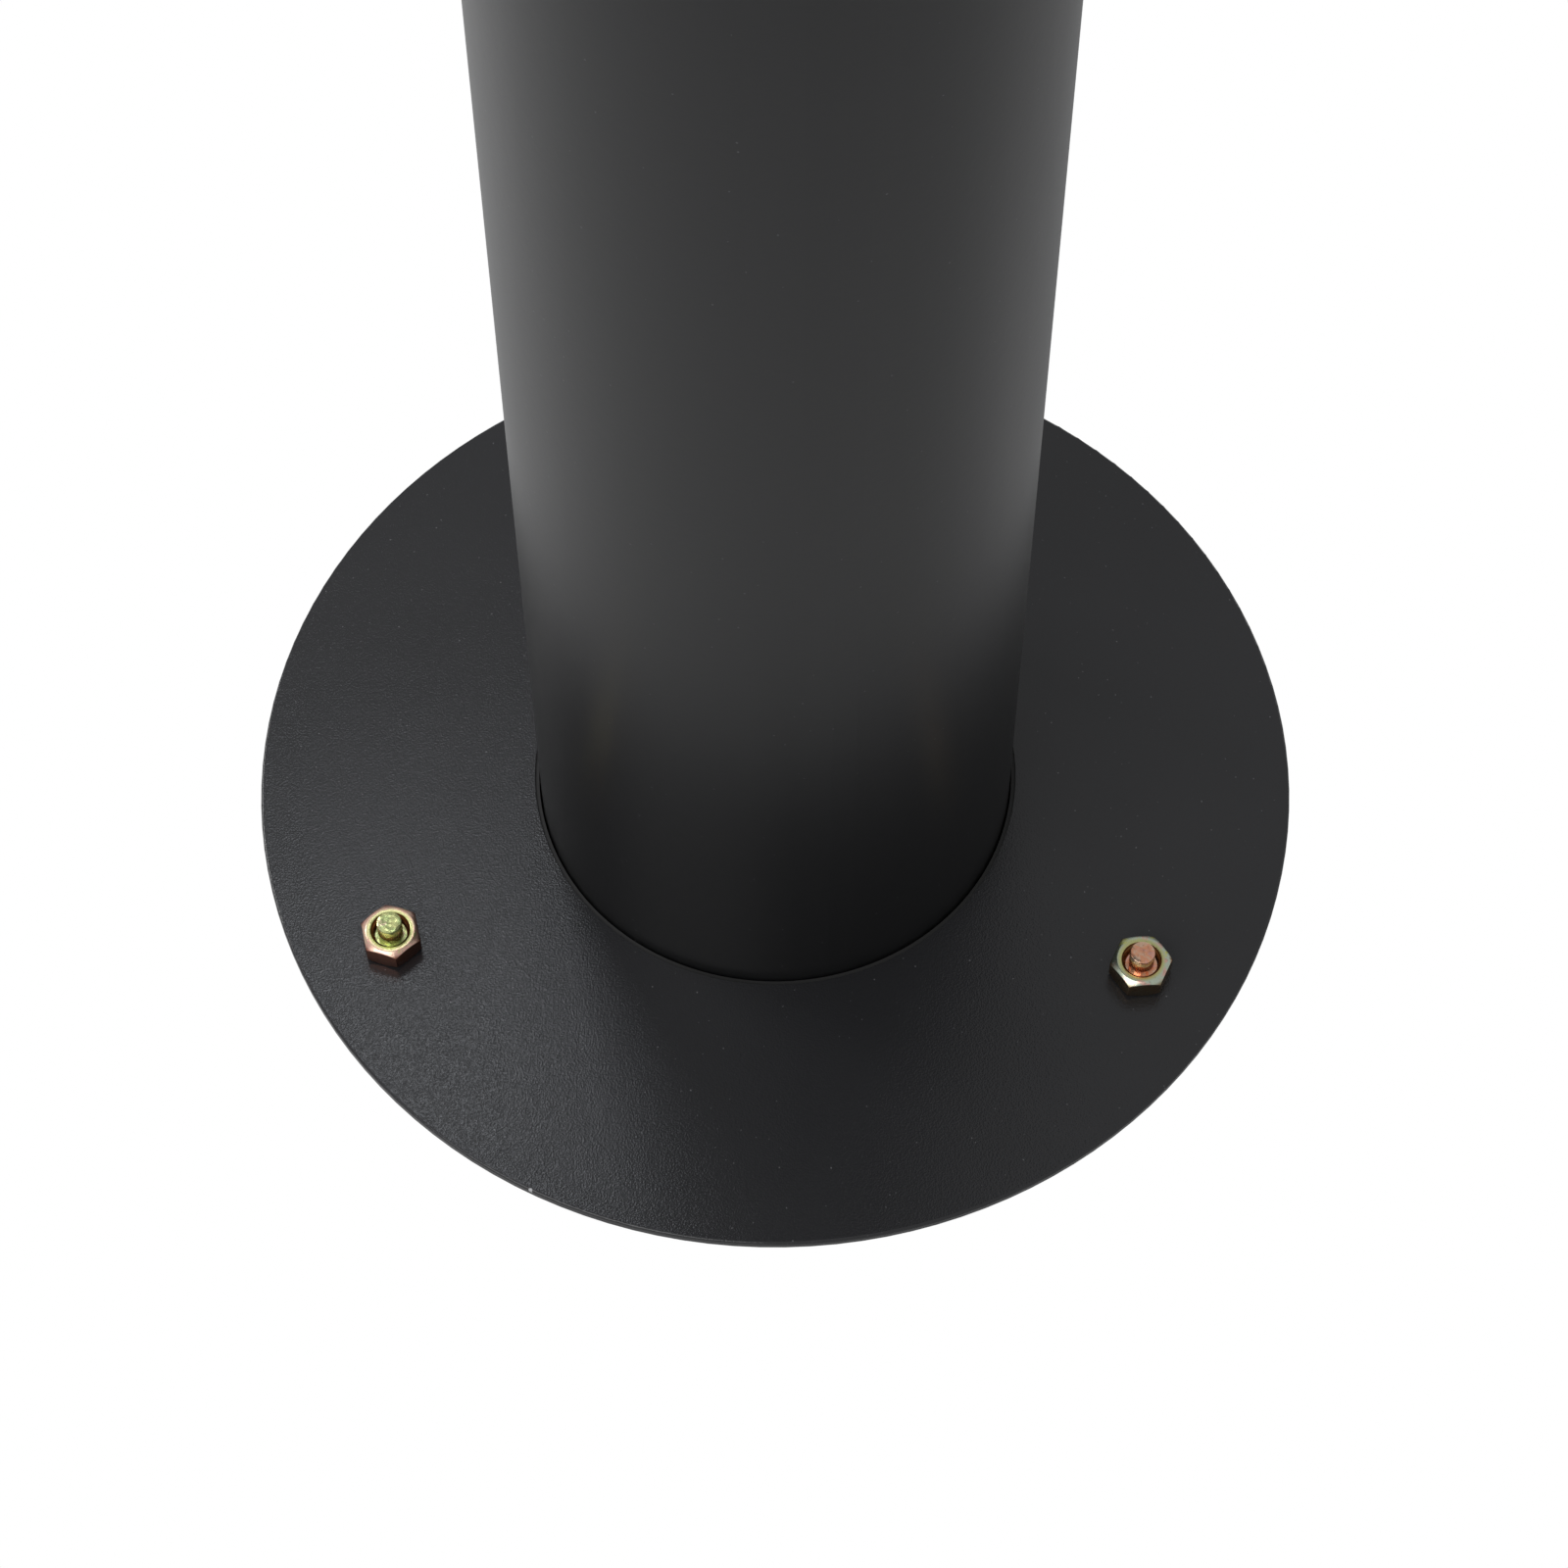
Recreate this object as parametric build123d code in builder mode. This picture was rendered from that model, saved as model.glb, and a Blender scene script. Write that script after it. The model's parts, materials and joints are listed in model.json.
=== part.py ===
from build123d import *
import math
import os

os.makedirs("parts", exist_ok=True)

# Manual retractable bollard. All sizes are in millimetres.
# The origin is on the post's axis at ground level, which is the underside of the cover flange.
# +Z is up, and -Y is the side that the folded handle and the guide rail are on.
# The post is drawn raised and unlocked.

# ---- Driving sizes: post -------------------------------------------------------------------------
post_od = 114.0
post_wall = 4.0
post_reach = 588.0
post_tail = 190.0
cap_top = 12.0
cap_spigot = 12.0
cap_rim_round = 7.0
cap_skirt_wall = 7.0
cap_boss_r = 16.0
cap_ceiling = 4.0

# ---- Driving sizes: casing and cover ---------------------------------------------------------------
flange_od = 250.0
cover_thickness = 2.0
cover_rim_round = 0.6
cover_bore_gap = 1.5
ring_od = 240.0
ring_thickness = 8.0
annulus = 8.85
casing_wall = 4.0
bottom_gap = 12.0
bottom_thickness = 6.0
bush_depth = 60.0
bush_lip = 3.0
seal_width = 3.5
seal_rise = 1.6
buffer_thickness = 6.0
rail_width = 10.0
rail_depth = 4.0
drain_r = 25.0
drain_wall = 3.0
drain_length = 50.0
drain_y = -14.0
grate_r = 28.0
grate_thickness = 2.0
grate_hole_r = 3.0
grate_hole_ring = 14.0
grate_holes = 8
stop_r = 8.0
stop_count = 4
stop_start = 45.0
tie_r = 4.0
tie_count = 3
tie_reach = 110.0
tie_rise = 60.0
tie_bend = 16.0
tie_drop = 320.0
tie_start = 90.0

# ---- Driving sizes: anchors (M8) -------------------------------------------------------------------
anchor_pcd = 205.0
anchor_count = 3
anchor_start = -33.0
anchor_r = 4.0
anchor_hole_r = 4.5
anchor_dog_r = 3.0
anchor_dog_length = 4.2
anchor_stand = 3.7
anchor_dog_chamfer = 0.5
anchor_neck_r = 2.9
anchor_depth = 62.0
anchor_cone = 8.0
anchor_sleeve = 14.0
anchor_sleeve_low_r = 3.75
anchor_sleeve_high_r = 3.5
anchor_sleeve_slot = 1.0
anchor_tip = 2.0
nut_across_flats = 13.0
hex_sides = 6
nut_height = 6.5
nut_mouth_r = 4.65
nut_corner_drop = 0.8
nut_face_share = 0.95
nut_turns = [4.5, 25.0, 42.0]

# ---- Driving sizes: gas strut ----------------------------------------------------------------------
strut_r = 11.0
strut_wall = 1.5
strut_rod_r = 5.0
strut_gland_length = 16.0
strut_piston_length = 8.0
strut_end = 4.0
strut_spare = 8.0
strut_edge = 5.0
strut_way = 1.0
strut_eye_r = 8.0
strut_eye_width = 8.0
strut_neck_r = 3.8
strut_neck_length = 1.5
strut_pin_r = 4.0
strut_pin_height = 16.0
strut_head_r = 6.0
strut_head_length = 2.5
bracket_ear = 4.0
bracket_base = 4.0
bracket_width = 24.0
bracket_ear_gap = 0.2
pin_clip_r = 6.5
pin_clip_thickness = 1.2
rod_stud_r = 4.0
rod_nut_flats = 13.0
rod_nut_height = 6.5
rod_end_stand = 2.0

# ---- Driving sizes: lock ---------------------------------------------------------------------------
rod_r = 5.0
gear_module = 1.5
gear_teeth = 14
gear_pressure = 20.0
tooth_phase = 0.5
rack_addendum = 1.2
pinion_addendum = 1.3
tooth_clearance = 0.3
backlash = 0.2
pinion_height = 14.0
pinion_pin_r = 1.5
latch_height = 16.0
latch_back = 8.4
latch_z = -122.0
latch_setback = 0.5
latch_tail_land = 2.4
latch_teeth_before = 2
latch_teeth_after = 5
window_gap = 1.0
window_gap_z = 1.5
strike_wall = 3.0
strike_spare = 1.5
housing_base = 22.0
housing_bearing = 10.0
cover_plate = 6.0
spindle_r = 7.0
spindle_height = 30.0
spindle_below_top = 4.0
spindle_rod_socket = 16.0
key_square = 8.0
key_depth = 11.0
spindle_pin_r = 1.25
pin_sink = 0.5
barrel_r = 12.0
barrel_below_top = 3.0
barrel_height = 23.0
clip_r = 9.5
clip_thickness = 1.2
clip_groove_r = 6.2

# ---- Driving sizes: handle and dust flap -----------------------------------------------------------
handle_r = 4.0
handle_half_width = 24.0
handle_pivot_y = -8.0
handle_length = 30.0
handle_bend = 8.0
handle_eye_r = 4.8
handle_eye_width = 9.0
handle_sink = 5.3
handle_pin_r = 2.5
handle_pin_length = 13.0
recess_gap = 0.8
scoop_half_width = 16.0
scoop_depth = 11.0
flap_r = 14.0
flap_thickness = 2.5
flap_hinge_y = 18.0
flap_knuckle_r = 2.0
flap_tab = 12.0
flap_pin_r = 1.0
flap_pin_length = 18.0

# ---- Driving sizes: fixings and inner plates -------------------------------------------------------
slider_height = 20.0
fixing_angles = (30.0, 150.0, 270.0)
slider_angles = (45.0, 165.0, 285.0)
plate_thickness = 6.0
guide_plate_thickness = 4.0
guide_plate_z = 170.0
band_below_reach = 88.0
band_height = 50.0
band_thickness = 0.15
screw_r = 2.5
screw_head_r = 5.0
screw_head_sink = 0.2
screw_countersink = 2.5
screw_socket_flats = 3.0
cap_screw_length = 10.0
housing_screw_length = 16.0
slider_screw_length = 12.0
plate_screw_length = 14.0
plate_screw_ring = 40.0

# ---- Clearances ------------------------------------------------------------------------------------
fixed_gap = 0.05
shaft_gap = 0.05
slide_gap = 0.3
stop_gap = 0.3
bush_gap = 0.5
seal_gap = 0.45
slider_gap = 0.45

# ---- Sizes that follow -----------------------------------------------------------------------------
post_r = post_od / 2
band_low = post_reach - band_below_reach
post_ir = post_r - post_wall
inner_r = post_ir - fixed_gap
cap_z = post_reach + cap_top
stroke = cap_z - cover_thickness
casing_ir = post_r + annulus
casing_or = casing_ir + casing_wall
casing_floor = -(post_tail + stroke + bottom_gap)
bottom_z = casing_floor - bottom_thickness
casing_top = -bush_lip
cover_bore_r = post_r + cover_bore_gap
seal_ir = post_r + seal_gap
bush_ir = post_r + bush_gap
bush_or = casing_ir - fixed_gap
buffer_low = -bush_depth - buffer_thickness
slider_top = buffer_low - stop_gap
slider_or = casing_ir - slider_gap
rail_ir = casing_ir - rail_depth
rail_top = slider_top - slider_height / 4
nut_top = cover_thickness + nut_height

# Gas strut: the piston's stroke is the post's, with a little to spare at each end.
strut_y = post_ir - strut_r - strut_way - strut_edge
strut_hole_r = strut_r + strut_way
strut_pin_z = casing_floor + strut_pin_height
strut_low = strut_pin_z + strut_eye_r + strut_neck_length
piston_low = strut_low + strut_end + strut_spare + stroke
gland_low = piston_low + strut_piston_length + strut_spare / 2
strut_top = gland_low + strut_gland_length
top_plate_z = strut_top + strut_spare + stroke

# Rack and pinion: both racks lie beside the pinion, one on each side of the post's axis.
pitch_r = gear_module * gear_teeth / 2
tooth_pitch = math.pi * gear_module
latch_tail = latch_teeth_after * tooth_pitch + latch_tail_land
tooth_width = tooth_pitch / 2 - backlash
pinion_tip_r = pitch_r + pinion_addendum
pinion_root_r = pitch_r - rack_addendum - tooth_clearance
rack_tip_y = pitch_r - rack_addendum
rack_root_y = pitch_r + pinion_addendum + tooth_clearance
latch_back_y = rack_root_y + latch_back
latch_travel = pitch_r * math.pi / 2
latch_nose_r = post_r - latch_setback
latch_low = latch_z - latch_height / 2
latch_high = latch_z + latch_height / 2
channel_floor = latch_low - slide_gap
housing_low = channel_floor - housing_base
housing_top = latch_high + slide_gap
cover_plate_top = housing_top + cover_plate
shaft_low = channel_floor - housing_bearing + slide_gap
latch_middle_y = (rack_tip_y + latch_back_y) / 2
latch_width = latch_back_y - rack_tip_y
window_width = latch_width + 2 * window_gap
window_height = latch_height + 2 * window_gap_z
strike_inner_x = latch_nose_r + latch_travel + strike_spare
strike_outer_x = strike_inner_x + strike_wall

# Cap: everything on it is placed down from its top face.
spindle_top = cap_z - spindle_below_top
spindle_low = spindle_top - spindle_height
rod_top = spindle_low + spindle_rod_socket
barrel_top = cap_z - barrel_below_top
barrel_low = barrel_top - barrel_height
clip_high = barrel_low - slide_gap
handle_z = cap_z - handle_sink
handle_floor = handle_z - handle_eye_r - slide_gap
flap_low = cap_z - flap_thickness
flap_floor = flap_low - slide_gap
flap_hinge_z = cap_z - flap_knuckle_r


def ring(low, high, outer, inner=0, mode=Mode.ADD):
    """Add or cut an upright ring, or a disc where it has no hole, in the piece being built."""
    with BuildSketch(Plane.XY.offset(low)) as section:
        Circle(outer)
        if inner:
            Circle(inner, mode=Mode.SUBTRACT)
    extrude(section.sketch, amount=high - low, mode=mode)


def holes(low, high, radius, spots):
    """Cut an upright round hole at each (x, y) spot of the piece being built."""
    with BuildSketch(Plane.XY.offset(low)) as section:
        with Locations(*spots):
            Circle(radius)
    extrude(section.sketch, amount=high - low, mode=Mode.SUBTRACT)


def crosswise(x, y, z, radius, length, mode=Mode.ADD):
    """Add or cut a round bar that lies along X, centred on a point, in the piece being built."""
    with BuildSketch(Plane.YZ.offset(x - length / 2)) as section:
        with Locations((y, z)):
            Circle(radius)
    extrude(section.sketch, amount=length, mode=mode)


def turned(outline):
    """Add the solid that an outline of (radius, height) points makes when it turns about Z."""
    with BuildSketch(Plane.XZ) as section:
        with BuildLine():
            Polyline(*outline, close=True)
        make_face()
    revolve(section.sketch, axis=Axis.Z)


def outward(angle, radius, z):
    """A plane at a point on the post's round side, facing away from the axis."""
    turn = math.radians(angle)
    facing = Vector(math.cos(turn), math.sin(turn), 0)
    return Plane(origin=facing * radius + Vector(0, 0, z), x_dir=(0, 0, 1), z_dir=facing)


def polar_spots(radius, count, start):
    """The (x, y) places of evenly spaced things on a circle."""
    turns = [math.radians(start + 360 * step / count) for step in range(count)]
    return [(radius * math.cos(turn), radius * math.sin(turn)) for turn in turns]


def countersunk_screw(length):
    """A socket screw: the flat of its head is at the origin, and its shank goes down -Z."""
    with BuildPart() as screw:
        turned(
            [
                (0, 0),
                (screw_head_r, 0),
                (screw_r, -screw_countersink),
                (screw_r, -length),
                (0, -length),
            ]
        )
        with BuildSketch() as socket:
            RegularPolygon(screw_socket_flats / 2, hex_sides, major_radius=False)
        extrude(socket.sketch, amount=-screw_countersink, mode=Mode.SUBTRACT)
    return screw.part


def screw_way(length):
    """The hole that a countersunk screw sits in, with the flat of its head at the origin."""
    with BuildPart() as way:
        turned(
            [
                (0, screw_head_r),
                (screw_head_r + fixed_gap, screw_head_r),
                (screw_head_r + fixed_gap, 0),
                (screw_r + fixed_gap, -screw_countersink),
                (screw_r + fixed_gap, -length - fixed_gap),
                (0, -length - fixed_gap),
            ]
        )
    return way.part


def strike_places(x):
    """Where each latch meets the casing: left and right, at the raised and the lowered height."""
    levels = (latch_z, latch_z - stroke)
    return [(side * x, -side * latch_middle_y, level) for side in (-1, 1) for level in levels]


# ---- Where the fixings stand -----------------------------------------------------------------------

screw_seat_r = post_r - screw_head_sink
slider_seat_r = slider_or - screw_head_sink
slider_low = -post_tail
slider_low_top = slider_low + slider_height
slider_high = slider_top - slider_height
slider_screw_levels = (slider_low + slider_height / 2, slider_top - slider_height / 2)
cap_screw_z = post_reach - cap_spigot / 2
housing_screw_z = housing_low + screw_head_r + slide_gap
cap_screw_planes = [outward(angle, screw_seat_r, cap_screw_z) for angle in fixing_angles]
housing_screw_planes = [outward(angle, screw_seat_r, housing_screw_z) for angle in fixing_angles]
slider_screw_planes = [
    outward(angle, slider_seat_r, level) for angle in slider_angles for level in slider_screw_levels
]
plate_screw_spots = [(plate_screw_ring, 0), (-plate_screw_ring, 0), (0, -plate_screw_ring)]
plate_screw_planes = [Plane(origin=(x, y, cover_plate_top - screw_head_sink)) for x, y in plate_screw_spots]
anchor_spots = polar_spots(anchor_pcd / 2, anchor_count, anchor_start)
strut_spot = [(0, strut_y)]

# ---- Cover and ground frame ------------------------------------------------------------------------

with BuildPart() as cover_flange:
    ring(0, cover_thickness, flange_od / 2, cover_bore_r)
    holes(0, cover_thickness, anchor_hole_r, anchor_spots)
    top_rim = cover_flange.edges().group_by(Axis.Z)[-1].sort_by(SortBy.RADIUS)[-1]
    fillet(top_rim, cover_rim_round)
cover_flange.part.label = "cover_flange"
export_step(cover_flange.part, "parts/cover_flange.step")

with BuildPart() as mounting_ring:
    ring(-ring_thickness, 0, ring_od / 2, casing_or + fixed_gap)
    holes(-ring_thickness, 0, anchor_hole_r, anchor_spots)
mounting_ring.part.label = "mounting_ring"
export_step(mounting_ring.part, "parts/mounting_ring.step")

window_length = strike_inner_x - post_r
window_x = post_r + window_length / 2
with BuildPart() as casing_tube:
    ring(casing_floor, casing_top, casing_or, casing_ir)
    with Locations(*strike_places(window_x)):
        Box(window_length, window_width, window_height, mode=Mode.SUBTRACT)
casing_tube.part.label = "casing_tube"
export_step(casing_tube.part, "parts/casing_tube.step")

strike_length = strike_outer_x - post_r
strike_x = post_r + strike_length / 2
with BuildPart() as strike_boxes:
    with Locations(*strike_places(strike_x)):
        Box(strike_length, window_width + 2 * strike_wall, window_height + 2 * strike_wall)
    with Locations(*strike_places(window_x)):
        Box(window_length, window_width, window_height, mode=Mode.SUBTRACT)
    ring(casing_floor, casing_top, casing_or + fixed_gap, mode=Mode.SUBTRACT)
strike_boxes.part.label = "strike_boxes"
export_step(strike_boxes.part, "parts/strike_boxes.step")

with BuildPart() as bottom_plate:
    ring(bottom_z, casing_floor, casing_or)
    holes(bottom_z, casing_floor, drain_r - drain_wall, [(0, drain_y)])
bottom_plate.part.label = "bottom_plate"
export_step(bottom_plate.part, "parts/bottom_plate.step")

with BuildPart() as drain_spigot:
    with BuildSketch(Plane.XY.offset(bottom_z)):
        with Locations((0, drain_y)):
            Circle(drain_r)
            Circle(drain_r - drain_wall, mode=Mode.SUBTRACT)
    extrude(amount=-drain_length)
drain_spigot.part.label = "drain_spigot"
export_step(drain_spigot.part, "parts/drain_spigot.step")

with BuildPart() as drain_grate:
    with BuildSketch(Plane.XY.offset(casing_floor)):
        with Locations((0, drain_y)):
            Circle(grate_r)
            Circle(grate_hole_r, mode=Mode.SUBTRACT)
            with PolarLocations(grate_hole_ring, grate_holes):
                Circle(grate_hole_r, mode=Mode.SUBTRACT)
    extrude(amount=grate_thickness)
drain_grate.part.label = "drain_grate"
export_step(drain_grate.part, "parts/drain_grate.step")

with BuildPart() as guide_rail:
    with BuildSketch(Plane.XY.offset(casing_floor)):
        with Locations((0, -rail_ir - rail_depth)):
            Rectangle(rail_width, 2 * rail_depth)
        Circle(casing_ir - fixed_gap, mode=Mode.INTERSECT)
    extrude(amount=rail_top - casing_floor)
guide_rail.part.label = "guide_rail"
export_step(guide_rail.part, "parts/guide_rail.step")

with BuildPart() as guide_bush:
    ring(-bush_depth, casing_top, bush_or, bush_ir)
    ring(casing_top, 0, casing_or, bush_ir + seal_width)
guide_bush.part.label = "guide_bush"
export_step(guide_bush.part, "parts/guide_bush.step")

with BuildPart() as wiper_seal:
    ring(casing_top, 0, bush_ir + seal_width - fixed_gap, seal_ir)
    ring(0, seal_rise, cover_bore_r - fixed_gap, seal_ir)
wiper_seal.part.label = "wiper_seal"
export_step(wiper_seal.part, "parts/wiper_seal.step")

with BuildPart() as buffer_ring:
    ring(buffer_low, -bush_depth, bush_or, bush_ir)
buffer_ring.part.label = "buffer_ring"
export_step(buffer_ring.part, "parts/buffer_ring.step")

with BuildPart() as bump_stops:
    with BuildSketch(Plane.XY.offset(casing_floor)):
        with PolarLocations((post_r + post_ir) / 2, stop_count, start_angle=stop_start):
            Circle(stop_r)
    extrude(amount=bottom_gap - stop_gap)
bump_stops.part.label = "bump_stops"
export_step(bump_stops.part, "parts/bump_stops.step")

tie_root = casing_or + fixed_gap
with BuildPart() as tie:
    with BuildLine(Plane.XZ):
        FilletPolyline(
            (tie_root, -tie_drop),
            (tie_reach, -tie_drop),
            (tie_reach, tie_rise - tie_drop),
            radius=tie_bend,
        )
    with BuildSketch(Plane.YZ.offset(tie_root)):
        with Locations((0, -tie_drop)):
            Circle(tie_r)
    sweep()
with BuildPart() as concrete_ties:
    with PolarLocations(0, tie_count, start_angle=tie_start):
        add(tie.part)
concrete_ties.part.label = "concrete_ties"
export_step(concrete_ties.part, "parts/concrete_ties.step")

# ---- Anchors ---------------------------------------------------------------------------------------

cone_top = -anchor_depth + anchor_tip + anchor_cone
sleeve_top = cone_top + anchor_sleeve
stud_top = nut_top + anchor_stand
with BuildPart() as stud:
    turned(
        [
            (0, -anchor_depth),
            (anchor_dog_r, -anchor_depth),
            (anchor_r, -anchor_depth + anchor_tip),
            (anchor_neck_r, cone_top),
            (anchor_neck_r, sleeve_top),
            (anchor_r, sleeve_top),
            (anchor_r, stud_top - anchor_dog_length),
            (anchor_dog_r, stud_top - anchor_dog_length),
            (anchor_dog_r, stud_top - anchor_dog_chamfer),
            (anchor_dog_r - anchor_dog_chamfer, stud_top),
            (0, stud_top),
        ]
    )
with BuildPart() as anchor_studs:
    with Locations(*anchor_spots):
        add(stud.part)
anchor_studs.part.label = "anchor_studs"
export_step(anchor_studs.part, "parts/anchor_studs.step")

with BuildPart() as sleeve:
    turned(
        [
            (anchor_neck_r + fixed_gap, cone_top),
            (anchor_sleeve_low_r, cone_top),
            (anchor_sleeve_high_r, sleeve_top - fixed_gap),
            (anchor_neck_r + fixed_gap, sleeve_top - fixed_gap),
        ]
    )
    with Locations((anchor_r, 0, (cone_top + sleeve_top) / 2)):
        Box(anchor_r, anchor_sleeve_slot, anchor_sleeve, mode=Mode.SUBTRACT)
with BuildPart() as anchor_sleeves:
    with Locations(*anchor_spots):
        add(sleeve.part)
anchor_sleeves.part.label = "anchor_sleeves"
export_step(anchor_sleeves.part, "parts/anchor_sleeves.step")

nut_corner_r = nut_across_flats / 2 / math.cos(math.pi / hex_sides)
nut_face_r = nut_face_share * nut_across_flats / 2
with BuildPart() as nut:
    turned(
        [
            (0, cover_thickness),
            (nut_face_r, cover_thickness),
            (nut_corner_r, cover_thickness + nut_corner_drop),
            (nut_corner_r, nut_top - nut_corner_drop),
            (nut_face_r, nut_top),
            (0, nut_top),
        ]
    )
    with BuildSketch(Plane.XY.offset(cover_thickness)):
        RegularPolygon(nut_across_flats / 2, hex_sides, major_radius=False)
    extrude(amount=nut_height, mode=Mode.INTERSECT)
    holes(cover_thickness, nut_top, anchor_r + fixed_gap, [(0, 0)])
    mouths = nut.edges().filter_by(GeomType.CIRCLE).filter_by(lambda edge: edge.radius < nut_mouth_r)
    chamfer(mouths, nut_mouth_r - anchor_r - fixed_gap)
nut_places = [Location((x, y, 0), (0, 0, turn)) for (x, y), turn in zip(anchor_spots, nut_turns)]
with BuildPart() as anchor_nuts:
    with Locations(*nut_places):
        add(nut.part)
anchor_nuts.part.label = "anchor_nuts"
export_step(anchor_nuts.part, "parts/anchor_nuts.step")

# ---- Gas strut: the end that stays in the casing ---------------------------------------------------

ear_inner = strut_eye_width / 2 + bracket_ear_gap
ear_outer = ear_inner + bracket_ear
ear_height = strut_pin_z - casing_floor
with BuildPart() as strut_bracket:
    with BuildSketch(Plane.YZ.offset(ear_inner)):
        with Locations((strut_y, casing_floor + ear_height / 2)):
            Rectangle(2 * strut_eye_r, ear_height)
        with Locations((strut_y, strut_pin_z)):
            Circle(strut_eye_r)
            Circle(strut_pin_r + fixed_gap, mode=Mode.SUBTRACT)
    extrude(amount=bracket_ear)
    mirror(about=Plane.YZ)
    with BuildSketch(Plane.XY.offset(casing_floor)):
        with Locations((0, strut_y)):
            Rectangle(bracket_width, bracket_width)
    extrude(amount=bracket_base)
strut_bracket.part.label = "strut_bracket"
export_step(strut_bracket.part, "parts/strut_bracket.step")

pin_end = ear_outer + bracket_ear_gap + 2 * pin_clip_thickness
strut_head_x = -ear_outer - bracket_ear_gap - strut_head_length / 2
with BuildPart() as strut_pin:
    crosswise(0, strut_y, strut_pin_z, strut_pin_r, 2 * pin_end)
    crosswise(strut_head_x, strut_y, strut_pin_z, strut_head_r, strut_head_length)
strut_pin.part.label = "strut_pin"
export_step(strut_pin.part, "parts/strut_pin.step")

clip_x = ear_outer + bracket_ear_gap + pin_clip_thickness / 2
with BuildPart() as strut_clip:
    crosswise(clip_x, strut_y, strut_pin_z, pin_clip_r, pin_clip_thickness)
    crosswise(clip_x, strut_y, strut_pin_z, strut_pin_r + fixed_gap, pin_clip_thickness, Mode.SUBTRACT)
strut_clip.part.label = "strut_clip"
export_step(strut_clip.part, "parts/strut_clip.step")

with BuildPart() as strut_cylinder:
    crosswise(0, strut_y, strut_pin_z, strut_eye_r, strut_eye_width)
    with BuildSketch(Plane.XY.offset(strut_pin_z)):
        with Locations(*strut_spot):
            Circle(strut_neck_r)
    extrude(amount=strut_low + strut_end - strut_pin_z)
    with BuildSketch(Plane.XY.offset(strut_low)):
        with Locations(*strut_spot):
            Circle(strut_r)
    extrude(amount=strut_top - strut_low)
    holes(strut_low + strut_end, strut_top, strut_r - strut_wall, strut_spot)
    crosswise(0, strut_y, strut_pin_z, strut_pin_r + fixed_gap, strut_eye_width, Mode.SUBTRACT)
strut_cylinder.part.label = "strut_cylinder"
export_step(strut_cylinder.part, "parts/strut_cylinder.step")

with BuildPart() as strut_gland:
    with BuildSketch(Plane.XY.offset(gland_low)):
        with Locations(*strut_spot):
            Circle(strut_r - strut_wall - fixed_gap)
            Circle(strut_rod_r + shaft_gap, mode=Mode.SUBTRACT)
    extrude(amount=strut_gland_length)
strut_gland.part.label = "strut_gland"
export_step(strut_gland.part, "parts/strut_gland.step")

# ---- Gas strut: the end that moves with the post ---------------------------------------------------

rod_shoulder = top_plate_z
rod_end = top_plate_z + plate_thickness + rod_nut_height + rod_end_stand
with BuildPart() as strut_rod:
    with BuildSketch(Plane.XY.offset(piston_low)):
        with Locations(*strut_spot):
            Circle(strut_rod_r)
    extrude(amount=rod_shoulder - piston_low)
    with BuildSketch(Plane.XY.offset(rod_shoulder)):
        with Locations(*strut_spot):
            Circle(rod_stud_r)
    extrude(amount=rod_end - rod_shoulder)
strut_rod.part.label = "strut_rod"
export_step(strut_rod.part, "parts/strut_rod.step")

with BuildPart() as strut_piston:
    with BuildSketch(Plane.XY.offset(piston_low)):
        with Locations(*strut_spot):
            Circle(strut_r - strut_wall - shaft_gap)
            Circle(strut_rod_r + fixed_gap, mode=Mode.SUBTRACT)
    extrude(amount=strut_piston_length)
strut_piston.part.label = "strut_piston"
export_step(strut_piston.part, "parts/strut_piston.step")

with BuildPart() as strut_nut:
    with BuildSketch(Plane.XY.offset(top_plate_z + plate_thickness)):
        with Locations(*strut_spot):
            RegularPolygon(rod_nut_flats / 2, hex_sides, major_radius=False)
            Circle(rod_stud_r + fixed_gap, mode=Mode.SUBTRACT)
    extrude(amount=rod_nut_height)
strut_nut.part.label = "strut_nut"
export_step(strut_nut.part, "parts/strut_nut.step")

# ---- Post ------------------------------------------------------------------------------------------

with BuildPart() as post_tube:
    ring(-post_tail, post_reach, post_r, post_ir)
    with Locations((-post_r, latch_middle_y, latch_z), (post_r, -latch_middle_y, latch_z)):
        Box(post_r, latch_width + 2 * slide_gap, latch_height + 2 * slide_gap, mode=Mode.SUBTRACT)
    with Locations(*cap_screw_planes):
        add(screw_way(cap_screw_length), mode=Mode.SUBTRACT)
    with Locations(*housing_screw_planes):
        add(screw_way(housing_screw_length), mode=Mode.SUBTRACT)
    with Locations(*slider_screw_planes):
        add(screw_way(slider_screw_length), mode=Mode.SUBTRACT)
post_tube.part.label = "post_tube"
export_step(post_tube.part, "parts/post_tube.step")

with BuildPart() as reflective_band:
    ring(band_low, band_low + band_height, post_r + band_thickness, post_r)
reflective_band.part.label = "reflective_band"
export_step(reflective_band.part, "parts/reflective_band.step")

with BuildPart() as top_plate:
    ring(top_plate_z, top_plate_z + plate_thickness, inner_r, rod_r + slide_gap)
    holes(top_plate_z, top_plate_z + plate_thickness, rod_stud_r + fixed_gap, strut_spot)
top_plate.part.label = "top_plate"
export_step(top_plate.part, "parts/top_plate.step")

with BuildPart() as rod_guide:
    ring(guide_plate_z, guide_plate_z + guide_plate_thickness, inner_r, rod_r + slide_gap)
    holes(guide_plate_z, guide_plate_z + guide_plate_thickness, strut_hole_r, strut_spot)
rod_guide.part.label = "rod_guide"
export_step(rod_guide.part, "parts/rod_guide.step")

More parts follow.
